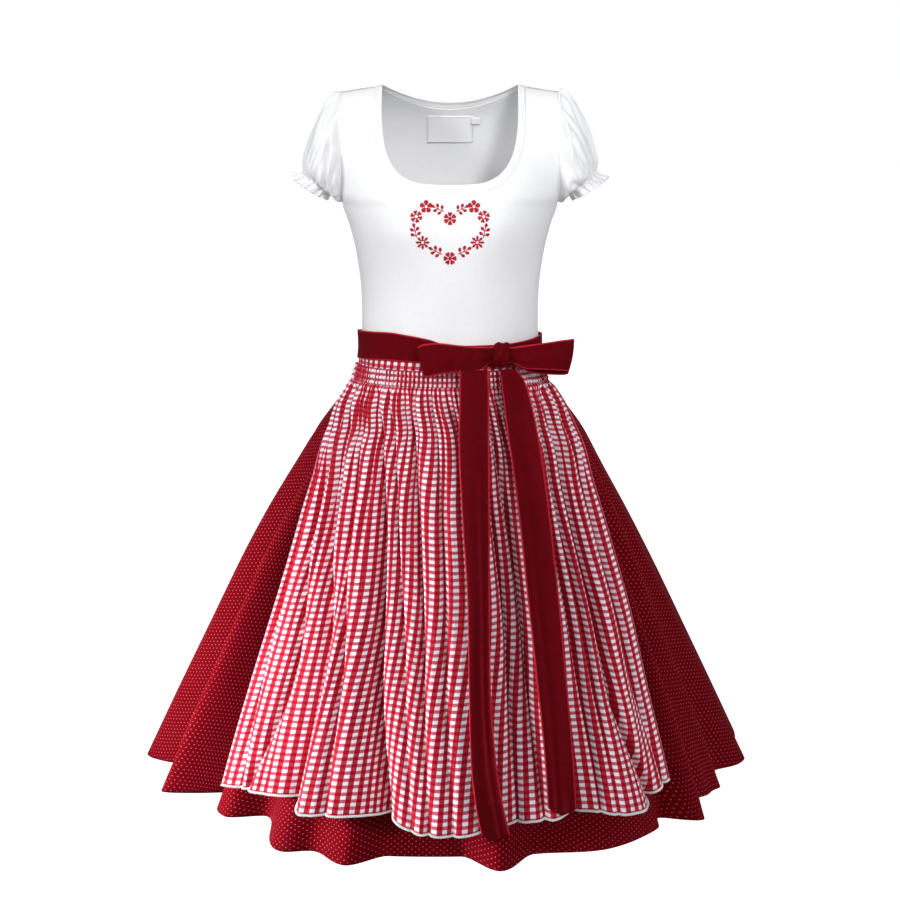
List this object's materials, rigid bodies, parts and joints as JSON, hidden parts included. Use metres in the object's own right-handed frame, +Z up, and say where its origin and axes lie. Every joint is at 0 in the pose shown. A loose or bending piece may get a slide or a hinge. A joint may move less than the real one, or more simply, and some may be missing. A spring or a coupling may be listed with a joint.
{
  "type": "dirndl dress with apron",
  "caption": "Folk dress filled out with no wearer: short puff-sleeved jersey top, wide dotted skirt, gathered gingham apron and a velvet ribbon tied in a bow.",
  "frame": {"origin": "midway between the two neck points of the shoulder seams, where the wearer's shoulders carry the dress", "axes": "+Z up out of the neck, front faces -Y, +X to the wearer's left"},
  "size_m": [0.8964, 0.9246, 1.0017],
  "materials": {
    "white_jersey": "matte",
    "dotted_cotton": "matte",
    "gingham": "matte",
    "crochet": "matte",
    "red_velvet": "matte",
    "label": "matte"
  },
  "bodies": {
    "root": {"bodice_front": "white_jersey", "bodice_back": "white_jersey", "neck_binding": "white_jersey", "sleeve_left": "white_jersey", "sleeve_right": "white_jersey", "neck_label": "label", "size_tab": "label", "skirt_front": "dotted_cotton", "skirt_back": "dotted_cotton", "apron_panel": "gingham", "apron_shirring": "gingham", "apron_waist_strip": "gingham", "apron_lace": "crochet", "ribbon_band": "red_velvet", "bow_knot": "red_velvet", "bow_loop_left": "red_velvet", "bow_loop_right": "red_velvet", "bow_tail_left": "red_velvet", "bow_tail_right": "red_velvet"}
  },
  "joints": []
}
